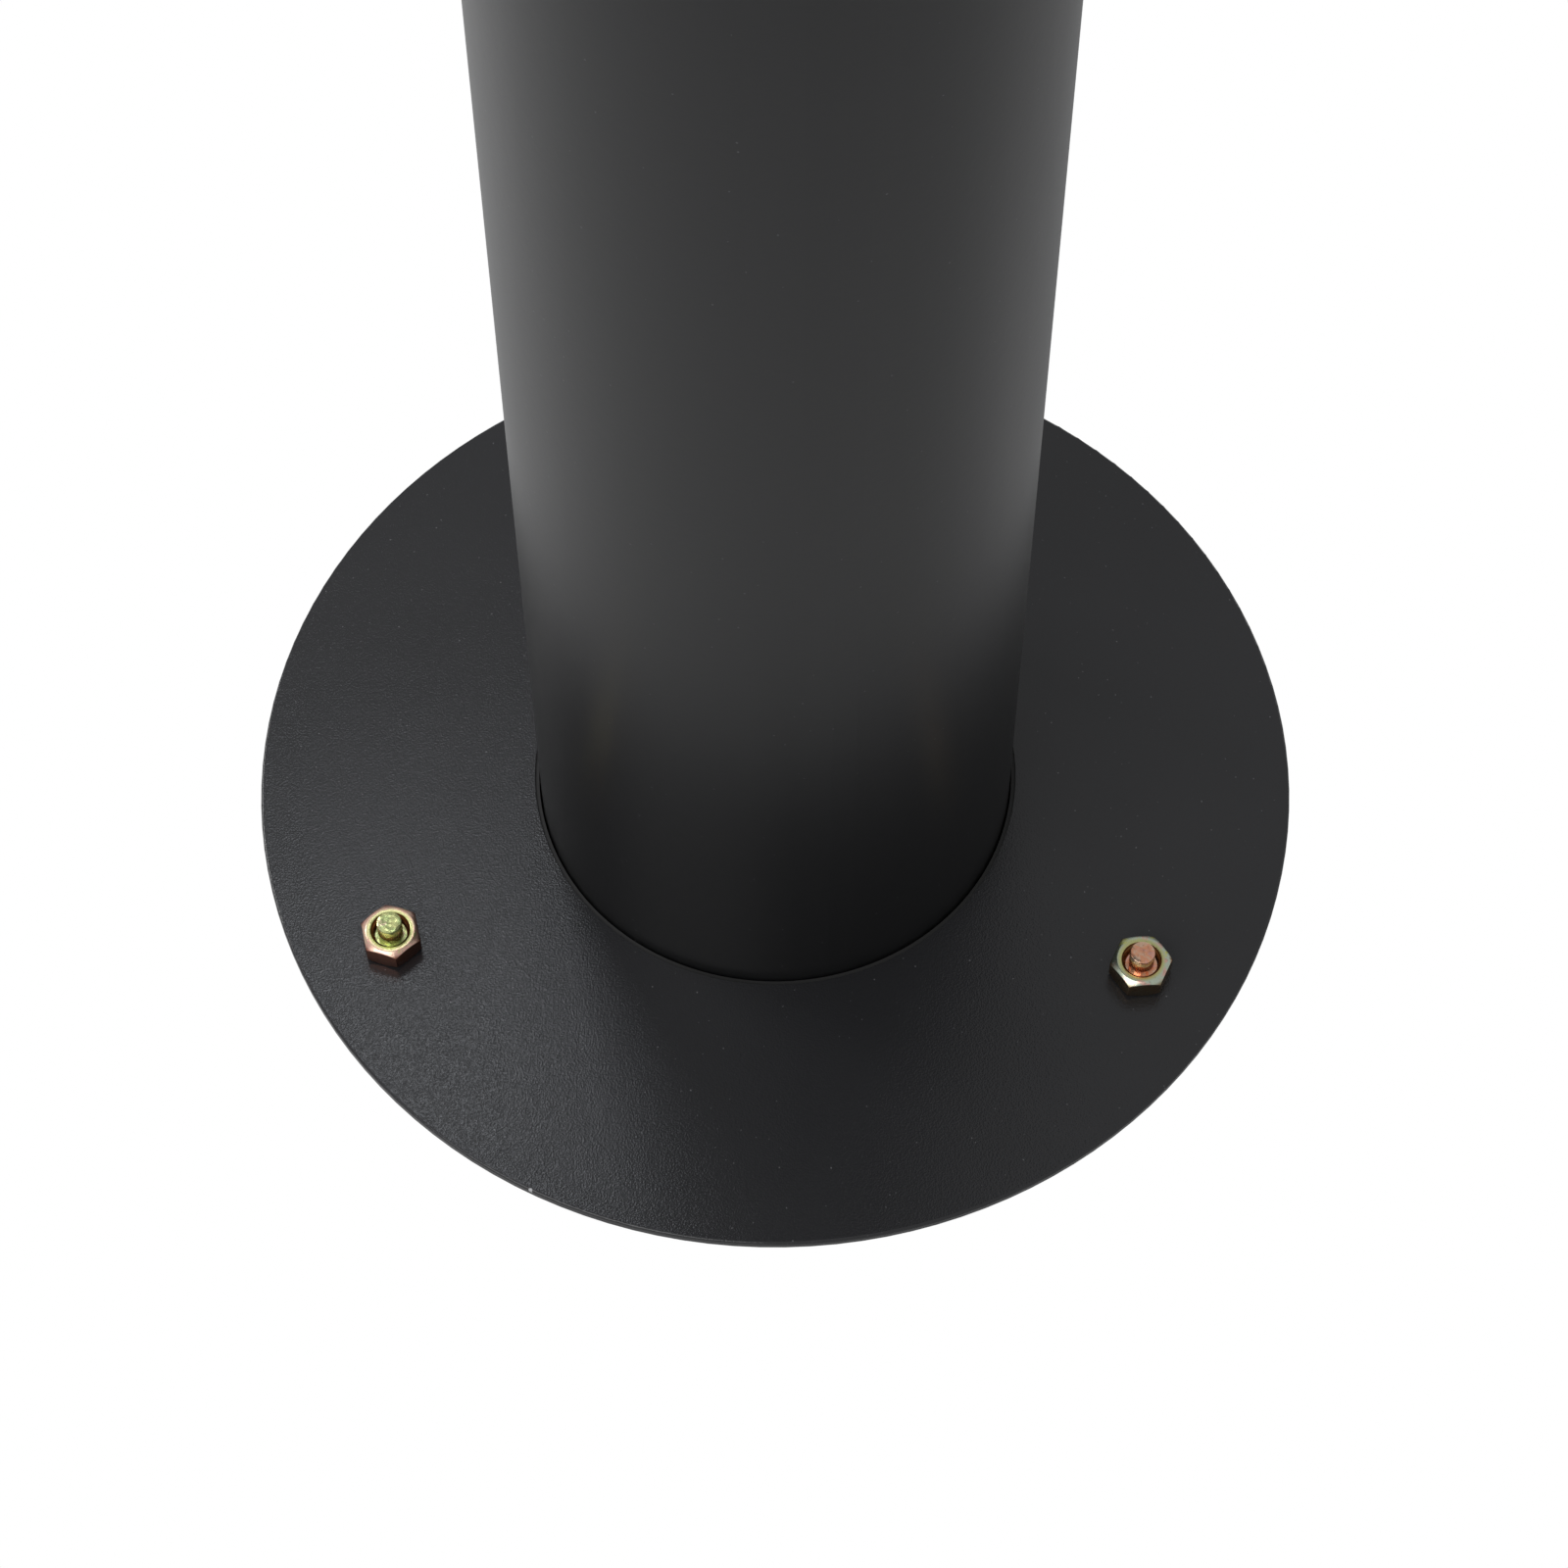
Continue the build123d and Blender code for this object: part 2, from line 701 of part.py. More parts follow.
channel_width = latch_width + 2 * slide_gap
channel_depth = housing_top - channel_floor
channel_length = post_r + latch_tail + slide_gap
channel_x = post_r - channel_length / 2
channel_z = channel_floor + channel_depth / 2
with BuildPart() as latch_housing:
    ring(housing_low, housing_top, inner_r)
    with Locations((-channel_x, latch_middle_y, channel_z), (channel_x, -latch_middle_y, channel_z)):
        Box(channel_length, channel_width, channel_depth, mode=Mode.SUBTRACT)
    holes(channel_floor, housing_top, pinion_tip_r + slide_gap, [(0, 0)])
    holes(channel_floor - housing_bearing, channel_floor, rod_r + shaft_gap, [(0, 0)])
    holes(housing_low, housing_top, strut_hole_r, strut_spot)
    with Locations(*housing_screw_planes):
        add(screw_way(housing_screw_length), mode=Mode.SUBTRACT)
    with Locations(*plate_screw_planes):
        add(screw_way(plate_screw_length), mode=Mode.SUBTRACT)
latch_housing.part.label = "latch_housing"
export_step(latch_housing.part, "parts/latch_housing.step")

with BuildPart() as latch_cover:
    ring(housing_top, cover_plate_top, inner_r, rod_r + shaft_gap)
    holes(housing_top, cover_plate_top, strut_hole_r, strut_spot)
    with Locations(*plate_screw_planes):
        add(screw_way(plate_screw_length), mode=Mode.SUBTRACT)
latch_cover.part.label = "latch_cover"
export_step(latch_cover.part, "parts/latch_cover.step")

with BuildPart() as latch_cover_screws:
    with Locations(*plate_screw_planes):
        add(countersunk_screw(plate_screw_length))
latch_cover_screws.part.label = "latch_cover_screws"
export_step(latch_cover_screws.part, "parts/latch_cover_screws.step")

with BuildPart() as housing_screws:
    with Locations(*housing_screw_planes):
        add(countersunk_screw(housing_screw_length))
housing_screws.part.label = "housing_screws"
export_step(housing_screws.part, "parts/housing_screws.step")

with BuildPart() as slider_screws:
    with Locations(*slider_screw_planes):
        add(countersunk_screw(slider_screw_length))
slider_screws.part.label = "slider_screws"
export_step(slider_screws.part, "parts/slider_screws.step")

groove_depth = slider_or - rail_ir + slide_gap
with BuildPart() as slider_ring_upper:
    ring(slider_high, slider_top, slider_or, post_r + fixed_gap)
    with Locations((0, -slider_or, slider_top - slider_height / 2)):
        Box(rail_width + 2 * slide_gap, 2 * groove_depth, slider_height, mode=Mode.SUBTRACT)
    with Locations(*slider_screw_planes):
        add(screw_way(slider_screw_length), mode=Mode.SUBTRACT)
slider_ring_upper.part.label = "slider_ring_upper"
export_step(slider_ring_upper.part, "parts/slider_ring_upper.step")

with BuildPart() as slider_ring_lower:
    ring(slider_low, slider_low_top, slider_or, post_r + fixed_gap)
    with Locations((0, -slider_or, slider_low + slider_height / 2)):
        Box(rail_width + 2 * slide_gap, 2 * groove_depth, slider_height, mode=Mode.SUBTRACT)
    with Locations(*slider_screw_planes):
        add(screw_way(slider_screw_length), mode=Mode.SUBTRACT)
slider_ring_lower.part.label = "slider_ring_lower"
export_step(slider_ring_lower.part, "parts/slider_ring_lower.step")

# ---- Cap -------------------------------------------------------------------------------------------

grip_y = handle_pivot_y - handle_length
recess_half = handle_half_width + handle_r + recess_gap
recess_front = grip_y - handle_r - recess_gap
recess_back = handle_pivot_y + handle_eye_r + recess_gap
island_half = handle_half_width - handle_r - recess_gap
island_front = grip_y + handle_r + recess_gap
scoop_back = -flap_r + recess_gap
tab_pocket_low = flap_hinge_z - flap_knuckle_r - slide_gap
tab_pocket_back = flap_hinge_y + flap_knuckle_r + 2 * slide_gap
with BuildPart() as post_cap:
    ring(post_reach - cap_spigot, cap_z, inner_r)
    ring(post_reach, cap_z, post_r)
    cap_rim = post_cap.edges().group_by(Axis.Z)[-1].sort_by(SortBy.RADIUS)[-1]
    fillet(cap_rim, cap_rim_round)
    ring(
        post_reach - cap_spigot,
        post_reach - cap_ceiling,
        inner_r - cap_skirt_wall,
        cap_boss_r,
        mode=Mode.SUBTRACT,
    )
    with BuildSketch(Plane.XY.offset(handle_floor)) as recess:
        with Locations((0, (recess_front + recess_back) / 2)):
            Rectangle(2 * recess_half, recess_back - recess_front)
        front_corners = recess.vertices().group_by(Axis.Y)[0]
        fillet(front_corners, handle_bend + handle_r + recess_gap)
    extrude(amount=cap_z - handle_floor, mode=Mode.SUBTRACT)
    with BuildSketch(Plane.XY.offset(handle_floor)) as island:
        with Locations((0, (island_front + recess_back) / 2)):
            Rectangle(2 * island_half, recess_back - island_front)
        island_corners = island.vertices().group_by(Axis.Y)[0]
        fillet(island_corners, handle_bend - handle_r - recess_gap)
    extrude(amount=cap_z - handle_floor)
    with Locations((0, (island_front + scoop_back) / 2, cap_z - scoop_depth / 2)):
        Box(2 * scoop_half_width, scoop_back - island_front, scoop_depth, mode=Mode.SUBTRACT)
    ring(flap_floor, cap_z, flap_r + slide_gap, mode=Mode.SUBTRACT)
    with Locations((0, tab_pocket_back / 2, (tab_pocket_low + cap_z) / 2)):
        Box(flap_tab + 2 * slide_gap, tab_pocket_back, cap_z - tab_pocket_low, mode=Mode.SUBTRACT)
    holes(barrel_low, cap_z, barrel_r + fixed_gap, [(0, 0)])
    for side in (-1, 1):
        crosswise(
            side * handle_half_width,
            handle_pivot_y,
            handle_z,
            handle_pin_r + fixed_gap,
            handle_pin_length + 2 * fixed_gap,
            Mode.SUBTRACT,
        )
    crosswise(0, flap_hinge_y, flap_hinge_z, flap_pin_r + fixed_gap, flap_pin_length, Mode.SUBTRACT)
    with Locations(*cap_screw_planes):
        add(screw_way(cap_screw_length), mode=Mode.SUBTRACT)
post_cap.part.label = "post_cap"
export_step(post_cap.part, "parts/post_cap.step")

with BuildPart() as cap_screws:
    with Locations(*cap_screw_planes):
        add(countersunk_screw(cap_screw_length))
cap_screws.part.label = "cap_screws"
export_step(cap_screws.part, "parts/cap_screws.step")

with BuildPart() as handle_pins:
    for side in (-1, 1):
        crosswise(side * handle_half_width, handle_pivot_y, handle_z, handle_pin_r, handle_pin_length)
handle_pins.part.label = "handle_pins"
export_step(handle_pins.part, "parts/handle_pins.step")

with BuildPart() as lift_handle:
    with BuildLine(Plane.XY.offset(handle_z)):
        FilletPolyline(
            (-handle_half_width, handle_pivot_y),
            (-handle_half_width, grip_y),
            (handle_half_width, grip_y),
            (handle_half_width, handle_pivot_y),
            radius=handle_bend,
        )
    with BuildSketch(Plane.XZ.offset(-handle_pivot_y)):
        with Locations((-handle_half_width, handle_z)):
            Circle(handle_r)
    sweep()
    for side in (-1, 1):
        crosswise(side * handle_half_width, handle_pivot_y, handle_z, handle_eye_r, handle_eye_width)
    for side in (-1, 1):
        crosswise(
            side * handle_half_width,
            handle_pivot_y,
            handle_z,
            handle_pin_r + shaft_gap,
            handle_eye_width,
            Mode.SUBTRACT,
        )
lift_handle.part.label = "lift_handle"
export_step(lift_handle.part, "parts/lift_handle.step")

with BuildPart() as lock_flap:
    ring(flap_low, cap_z, flap_r)
    with Locations((0, flap_hinge_y / 2, (flap_low + cap_z) / 2)):
        Box(flap_tab, flap_hinge_y, flap_thickness)
    crosswise(0, flap_hinge_y, flap_hinge_z, flap_knuckle_r, flap_tab)
    crosswise(0, flap_hinge_y, flap_hinge_z, flap_pin_r + shaft_gap, flap_tab, Mode.SUBTRACT)
lock_flap.part.label = "lock_flap"
export_step(lock_flap.part, "parts/lock_flap.step")

with BuildPart() as flap_pin:
    crosswise(0, flap_hinge_y, flap_hinge_z, flap_pin_r, flap_pin_length)
flap_pin.part.label = "flap_pin"
export_step(flap_pin.part, "parts/flap_pin.step")

# ---- Lock shaft ------------------------------------------------------------------------------------

with BuildPart() as lock_barrel:
    ring(barrel_low, barrel_top, barrel_r, spindle_r + shaft_gap)
lock_barrel.part.label = "lock_barrel"
export_step(lock_barrel.part, "parts/lock_barrel.step")

clip_low = clip_high - clip_thickness
spindle_pin_z = (spindle_low + clip_low) / 2
with BuildPart() as key_spindle:
    ring(spindle_low, spindle_top, spindle_r)
    holes(spindle_low, rod_top, rod_r + fixed_gap, [(0, 0)])
    ring(clip_low - fixed_gap, clip_high + fixed_gap, spindle_r, clip_groove_r, mode=Mode.SUBTRACT)
    crosswise(0, 0, spindle_pin_z, spindle_pin_r + fixed_gap, 2 * spindle_r, Mode.SUBTRACT)
    with BuildSketch(Plane.XY.offset(spindle_top)):
        Rectangle(key_square, key_square)
    extrude(amount=-key_depth, mode=Mode.SUBTRACT)
key_spindle.part.label = "key_spindle"
export_step(key_spindle.part, "parts/key_spindle.step")

with BuildPart() as spindle_pin:
    crosswise(0, 0, spindle_pin_z, spindle_pin_r, 2 * (spindle_r - pin_sink))
spindle_pin.part.label = "spindle_pin"
export_step(spindle_pin.part, "parts/spindle_pin.step")

with BuildPart() as spindle_clip:
    ring(clip_low, clip_high, clip_r, clip_groove_r + fixed_gap)
    with Locations((0, clip_r, (clip_low + clip_high) / 2)):
        Box(clip_groove_r, 2 * (clip_r - clip_groove_r), clip_thickness, mode=Mode.SUBTRACT)
spindle_clip.part.label = "spindle_clip"
export_step(spindle_clip.part, "parts/spindle_clip.step")

with BuildPart() as lock_rod:
    ring(shaft_low, rod_top - fixed_gap, rod_r)
    crosswise(0, 0, spindle_pin_z, spindle_pin_r + fixed_gap, 2 * rod_r, Mode.SUBTRACT)
    crosswise(0, 0, latch_z, pinion_pin_r + fixed_gap, 2 * rod_r, Mode.SUBTRACT)
lock_rod.part.label = "lock_rod"
export_step(lock_rod.part, "parts/lock_rod.step")

pressure = math.radians(gear_pressure)
base_r = pitch_r * math.cos(pressure)


def flank_point(radius, side):
    """A point on the involute flank of the tooth that points along +X."""
    roll = math.acos(base_r / radius)
    spread = math.tan(pressure) - pressure - math.tan(roll) + roll
    turn = side * (tooth_width / pitch_r / 2 + spread)
    return (radius * math.cos(turn), radius * math.sin(turn))


flank_radii = [base_r, (base_r + pitch_r) / 2, pitch_r, (pitch_r + pinion_tip_r) / 2, pinion_tip_r]
with BuildSketch() as tooth:
    with BuildLine():
        upper = Spline(*[flank_point(radius, 1) for radius in flank_radii])
        lower = Spline(*[flank_point(radius, -1) for radius in flank_radii])
        Line(upper @ 1, lower @ 1)
        Polyline(upper @ 0, (0, (upper @ 0).Y), (0, (lower @ 0).Y), lower @ 0)
    make_face()
with BuildPart() as lock_pinion:
    with BuildSketch(Plane.XY.offset(latch_z - pinion_height / 2)):
        Circle(pinion_root_r)
        with PolarLocations(0, gear_teeth, start_angle=360 / gear_teeth * tooth_phase):
            add(tooth.sketch)
        Circle(rod_r + fixed_gap, mode=Mode.SUBTRACT)
    extrude(amount=pinion_height)
    crosswise(0, 0, latch_z, pinion_pin_r + fixed_gap, 2 * pinion_tip_r, Mode.SUBTRACT)
lock_pinion.part.label = "lock_pinion"
export_step(lock_pinion.part, "parts/lock_pinion.step")

with BuildPart() as pinion_pin:
    crosswise(0, 0, latch_z, pinion_pin_r, 2 * (pinion_root_r - pin_sink))
pinion_pin.part.label = "pinion_pin"
export_step(pinion_pin.part, "parts/pinion_pin.step")

# ---- Latches ---------------------------------------------------------------------------------------

rack_slope = math.tan(pressure)
tip_half = tooth_width / 2 - rack_addendum * rack_slope
root_half = tooth_width / 2 + (pinion_addendum + tooth_clearance) * rack_slope
rack_steps = range(-latch_teeth_before, latch_teeth_after)
rack_outline = []
for step in rack_steps:
    middle = step * tooth_pitch + tooth_pitch / 2
    rack_outline += [
        (middle - root_half, rack_root_y),
        (middle - tip_half, rack_tip_y),
        (middle + tip_half, rack_tip_y),
        (middle + root_half, rack_root_y),
    ]
nose_start = -latch_teeth_before * tooth_pitch - tooth_pitch / 2
nose_outline = [
    (-post_r, latch_back_y),
    (-post_r, rack_tip_y),
    (nose_start, rack_tip_y),
    (nose_start, rack_root_y),
]
tail_outline = [(latch_tail, rack_root_y), (latch_tail, latch_back_y)]
with BuildPart() as latch_left:
    with BuildSketch(Plane.XY.offset(latch_low)):
        with BuildLine():
            Polyline(*nose_outline, *rack_outline, *tail_outline, close=True)
        make_face()
        Circle(latch_nose_r, mode=Mode.INTERSECT)
    extrude(amount=latch_height)
latch_left.part.label = "latch_left"
export_step(latch_left.part, "parts/latch_left.step")

with BuildPart() as latch_right:
    with Locations(Location((0, 0, 0), (0, 0, 180))):
        add(latch_left.part)
latch_right.part.label = "latch_right"
export_step(latch_right.part, "parts/latch_right.step")
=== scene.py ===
import json
import math

import bmesh
import bpy
from mathutils import Matrix, Vector


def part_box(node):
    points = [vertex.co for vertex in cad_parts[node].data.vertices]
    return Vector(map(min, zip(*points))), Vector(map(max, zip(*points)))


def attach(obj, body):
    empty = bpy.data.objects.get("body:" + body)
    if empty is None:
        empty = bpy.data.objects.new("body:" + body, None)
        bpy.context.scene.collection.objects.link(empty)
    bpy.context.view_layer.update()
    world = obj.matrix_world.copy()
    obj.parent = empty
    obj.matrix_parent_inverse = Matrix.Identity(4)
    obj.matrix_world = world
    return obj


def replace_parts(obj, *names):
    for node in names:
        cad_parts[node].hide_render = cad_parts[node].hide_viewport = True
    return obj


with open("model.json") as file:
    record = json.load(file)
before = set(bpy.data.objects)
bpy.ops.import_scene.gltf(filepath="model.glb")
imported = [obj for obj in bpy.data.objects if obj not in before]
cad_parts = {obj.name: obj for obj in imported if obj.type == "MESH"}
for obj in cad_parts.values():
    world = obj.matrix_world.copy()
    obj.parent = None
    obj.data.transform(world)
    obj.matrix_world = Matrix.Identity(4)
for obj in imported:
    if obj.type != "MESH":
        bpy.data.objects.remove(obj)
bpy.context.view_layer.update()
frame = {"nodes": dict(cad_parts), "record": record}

MM = 0.001
TURN = 2 * math.pi
merge_reach = 0.002 * MM
thread_merge_reach = 0.01 * MM
smooth_below = math.radians(32)
stud_smooth_below = math.radians(40)

# ---- Sizes read from the frame, in metres ----------------------------------------------------------

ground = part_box("cover_flange")[0].z
ring_low, ring_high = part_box("mounting_ring")
casing_low, casing_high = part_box("casing_tube")
tube_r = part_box("post_tube")[1].x
nuts_low, nuts_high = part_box("anchor_nuts")
stud_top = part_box("anchor_studs")[1].z
sleeves_low, sleeves_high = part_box("anchor_sleeves")

casing_r = casing_high.x
ring_r = ring_high.x

anchors = next(m for m in frame["record"]["mounts"] if m["name"] == "ground_anchors")
anchor_ring = anchors["dims"]["pcd_mm"] * MM / 2
anchor_count = anchors["dims"]["count"]
stud_r = anchors["dims"]["stud_r_mm"] * MM
anchor_start = math.radians(-33)
anchor_angles = [anchor_start + TURN * step / anchor_count for step in range(anchor_count)]
anchor_names = ["right", "rear", "left"]
nut_turns = [math.radians(turn) for turn in (4.5, 25.0, 42.0)]

nut_flats = 13.0 * MM
nut_mouth_r = 4.65 * MM
nut_mouth_depth = 0.8 * MM
nut_chamfer = math.radians(36)
nut_face_share = 0.90
nut_edge = 0.12 * MM
nut_bore_r = stud_r + 0.05 * MM
nut_sides = 6
nut_steps = 120
nut_blank_spare = 0.4 * MM
crease = math.radians(24)
thread_pitch = 1.25 * MM
thread_depth = 0.62 * MM
thread_from = ground - 30 * MM
thread_end = nuts_high.z - 1.9 * MM
dog_r = 2.95 * MM
dog_round = 0.35 * MM
shank_tip = 62 * MM
shank_neck_r = 2.9 * MM
shank_tip_r = 3.0 * MM
thread_rise = 0.42
thread_crest = 0.58
thread_steps = 48
dog_steps = 64
shank_steps = 48

# ---- Mesh helpers ----------------------------------------------------------------------------------


def finish_piece(bm, name, material, body, sharp=smooth_below):
    """Close up a bmesh, make it an object of its own and let it ride on its body."""
    bmesh.ops.remove_doubles(bm, verts=bm.verts, dist=merge_reach)
    bmesh.ops.recalc_face_normals(bm, faces=bm.faces)
    for face in bm.faces:
        face.smooth = True
    for edge in bm.edges:
        edge.smooth = len(edge.link_faces) == 2 and edge.calc_face_angle() < sharp
    mesh = bpy.data.meshes.new(name)
    bm.to_mesh(mesh)
    bm.free()
    piece = bpy.data.objects.new(name, mesh)
    bpy.context.scene.collection.objects.link(piece)
    piece.data.materials.append(material)
    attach(piece, body)
    return piece


def add_turned(bm, outline, steps, closed=True):
    """Spin an outline of (radius, height) points about Z into the bmesh, and give its vertices."""
    before = set(bm.verts)
    points = [bm.verts.new((radius, 0, height)) for radius, height in outline]
    pairs = list(zip(points, points[1:]))
    if closed:
        pairs.append((points[-1], points[0]))
    edges = [bm.edges.new(pair) for pair in pairs]
    bmesh.ops.spin(
        bm, geom=points + edges, cent=(0, 0, 0), axis=(0, 0, 1), angle=TURN, steps=steps, use_merge=True
    )
    made = [vert for vert in bm.verts if vert not in before]
    bmesh.ops.remove_doubles(bm, verts=made, dist=merge_reach)
    return [vert for vert in bm.verts if vert not in before]


def cut_flat(bm, point, normal):
    """Mill one flat on a bmesh: everything beyond the plane goes, and the cut is closed."""
    cut = bmesh.ops.bisect_plane(
        bm, geom=bm.verts[:] + bm.edges[:] + bm.faces[:], plane_co=point, plane_no=normal, clear_outer=True
    )
    edges = [item for item in cut["geom_cut"] if isinstance(item, bmesh.types.BMEdge)]
    bmesh.ops.edgeloop_fill(bm, edges=edges)


def shift(bm, verts, move, turn=0.0):
    """Turn vertices about Z, then move them."""
    spin = Matrix.Rotation(turn, 4, "Z")
    bmesh.ops.transform(bm, matrix=Matrix.Translation(move) @ spin, verts=verts)


# ---- Material helpers ------------------------------------------------------------------------------


def feed(tree, socket, value):
    """Link a socket to another node's output, or set it."""
    if isinstance(value, Value):
        value = value.socket
    if isinstance(value, bpy.types.NodeSocket):
        tree.links.new(value, socket)
    else:
        socket.default_value = value


def fill_ramp(ramp, stops):
    """Give a colour ramp its (position, colour) stops."""
    while len(ramp.elements) < len(stops):
        ramp.elements.new(1.0)
    for element, (position, color) in zip(ramp.elements, stops):
        element.position = position
        element.color = color


def add_node(tree, kind, settings=None, sockets=None):
    """Any node: its settings are set first, then its sockets are given values or links."""
    made = tree.nodes.new("ShaderNode" + kind)
    for key, value in (settings or {}).items():
        if key == "stops":
            fill_ramp(made.color_ramp, value)
        else:
            setattr(made, key, value)
    for key, value in (sockets or {}).items():
        feed(tree, made.inputs[key], value)
    return made


class Value:
    """A number that varies over a surface. Arithmetic on it adds the Math nodes that work it out."""

    def __init__(self, finish, socket):
        self.finish = finish
        self.socket = socket

    def _math(self, operation, first, second=0.0):
        node = self.finish.node("Math", {"operation": operation}, {0: first, 1: second})
        return Value(self.finish, node.outputs[0])

    def __add__(self, other):
        return self._math("ADD", self, other)

    def __radd__(self, other):
        return self._math("ADD", other, self)

    def __sub__(self, other):
        return self._math("SUBTRACT", self, other)

    def __rsub__(self, other):
        return self._math("SUBTRACT", other, self)

    def __mul__(self, other):
        return self._math("MULTIPLY", self, other)

    def __rmul__(self, other):
        return self._math("MULTIPLY", other, self)


class Finish:
    """One material: a Principled shader and the nodes that feed it."""

    def __init__(self, name, **constants):
        self.material = bpy.data.materials.new(name)
        self.material.use_nodes = True
        self.tree = self.material.node_tree
        self.shader = self.tree.nodes["Principled BSDF"]
        for socket, value in constants.items():
            self.shader.inputs[socket.replace("_", " ")].default_value = value
        self.place = self.node("TexCoord").outputs["Object"]

    def node(self, kind, settings=None, sockets=None):
        """A node in this material."""
        return add_node(self.tree, kind, settings, sockets)

    def stretched(self, x=1.0, y=1.0, z=1.0):
        """Object coordinates, scaled along each axis."""
        return self.node("Mapping", {}, {"Vector": self.place, "Scale": (x, y, z)}).outputs[0]

    def noise(self, size_mm, detail=2.0, roughness=0.5, place=None, distortion=0.0):
        """Cloudy noise from 0 to 1, with blobs of about the given size."""
        sockets = {
            "Vector": place or self.place,
            "Scale": 1 / (size_mm * MM),
            "Detail": detail,
            "Roughness": roughness,
            "Distortion": distortion,
        }
        return Value(self, self.node("TexNoise", {}, sockets).outputs["Fac"])

    def cells(self, size_mm, feature="F1", output="Distance", place=None, randomness=1.0):
        """Voronoi cells of about the given size."""
        sockets = {"Vector": place or self.place, "Scale": 1 / (size_mm * MM), "Randomness": randomness}
        node = self.node("TexVoronoi", {"feature": feature}, sockets)
        return node.outputs[output]

    def axis(self, letter, place=None):
        """One coordinate of the surface point, in metres."""
        node = self.node("SeparateXYZ", {}, {"Vector": place or self.place})
        return Value(self, node.outputs[letter])

    def distance(self, first, second):
        """How far one place is from another, in metres."""
        node = self.node("VectorMath", {"operation": "DISTANCE"}, {0: first, 1: second})
        return Value(self, node.outputs["Value"])

    def ramp(self, value, low, high):
        """0 below low, 1 above high, smooth between."""
        sockets = {"Value": value, "From Min": low, "From Max": high}
        node = self.node("MapRange", {"interpolation_type": "SMOOTHSTEP"}, sockets)
        return Value(self, node.outputs["Result"])

    def colors(self, value, *stops):
        """A colour picked along a ramp of (position, (r, g, b)) stops."""
        stops = [(position, (*color, 1.0)) for position, color in stops]
        return self.node("ValToRGB", {"stops": stops}, {"Fac": value}).outputs["Color"]

    def mix(self, factor, first, second):
        """Blend two colours."""
        first = (*first, 1.0) if isinstance(first, tuple) else first
        second = (*second, 1.0) if isinstance(second, tuple) else second
        return self.node("Mix", {"data_type": "RGBA"}, {0: factor, 6: first, 7: second}).outputs[2]

    def bump(self, height, depth_mm, strength=1.0, base=None):
        """Relief: height from 0 to 1 stands for the given depth."""
        sockets = {"Height": height, "Distance": depth_mm * MM, "Strength": strength}
        if base is not None:
            sockets["Normal"] = base
        return self.node("Bump", {}, sockets).outputs["Normal"]

    def set(self, **sockets):
        """Feed the shader's own sockets."""
        for name, value in sockets.items():
            feed(self.tree, self.shader.inputs[name.replace("_", " ")], value)
        return self.material


# ---- Finishes --------------------------------------------------------------------------------------

rim_chip = (-57 * MM, -111 * MM, ground + 1.6 * MM)
rim_chip_size = 0.9 * MM


def satin_tube_paint():
    """Smooth satin powder coat: near black, with a faint orange peel, wipe marks and dust."""
    paint = Finish("satin_tube_paint", Specular_IOR_Level=0.5)
    peel = paint.noise(2.2, detail=2.0, roughness=0.55)
    fine = paint.noise(0.5, detail=1.0)
    wipe = paint.noise(60, detail=3.0, place=paint.stretched(1, 1, 0.35))
    dust = paint.ramp(Value(paint, paint.cells(5.0)), 0.05, 0.035)
    shade = paint.mix(wipe, (0.0066, 0.0067, 0.0073), (0.0088, 0.0089, 0.0095))
    color = paint.mix(dust * 0.35, shade, (0.16, 0.16, 0.17))
    rough = 0.30 + wipe * 0.05 + fine * 0.03
    relief = paint.bump(peel * 0.8 + fine * 0.2, 0.035, 0.5)
    return paint.set(Base_Color=color, Roughness=rough, Normal=relief)


def sand_flange_paint():
    """Fine sand-textured powder coat on the cover flange, chipped in one place on its rim."""
    paint = Finish("sand_flange_paint", Specular_IOR_Level=0.5)
    grain = Value(paint, paint.cells(0.42)) * 0.6 + paint.noise(0.55, detail=1.0) * 0.6
    pits = paint.noise(0.5, detail=1.0)
    cloud = paint.noise(35, detail=3.0)
    specks = paint.ramp(Value(paint, paint.cells(2.6)), 0.10, 0.05) * paint.ramp(pits, 0.5, 0.62)
    chip_reach = paint.distance(paint.place, rim_chip) + pits * rim_chip_size * 0.6
    chip = paint.ramp(chip_reach, rim_chip_size, rim_chip_size * 0.8)
    shade = paint.mix(cloud, (0.0155, 0.0157, 0.0172), (0.0195, 0.0197, 0.0215))
    color = paint.mix(specks * 0.55, shade, (0.20, 0.20, 0.21))
    color = paint.mix(chip, color, (0.42, 0.42, 0.43))
    rough = 0.15 + cloud * 0.03 + pits * 0.08
    relief = paint.bump(grain, 0.06, 0.85)
    return paint.set(Base_Color=color, Roughness=rough, Normal=relief)


def yellow_zinc(name, *film_colors):
    """Yellow-passivated zinc: a thin film whose colour drifts through the given ones."""
    metal = Finish(name, Metallic=1.0)
    film = metal.noise(3.6, detail=2.0, roughness=0.55, distortion=0.6)
    grain = metal.noise(0.35, detail=2.0)
    step = 0.5 / (len(film_colors) - 1)
    stops = [(0.25 + step * index, color) for index, color in enumerate(film_colors)]
    soiled = metal.ramp(metal.noise(1.3, detail=3.0), 0.62, 0.75) * 0.35
    color = metal.mix(soiled, metal.colors(film, *stops), oil)
    return metal.set(Base_Color=color, Roughness=0.20 + grain * 0.14, Normal=metal.bump(grain, 0.03, 0.6))


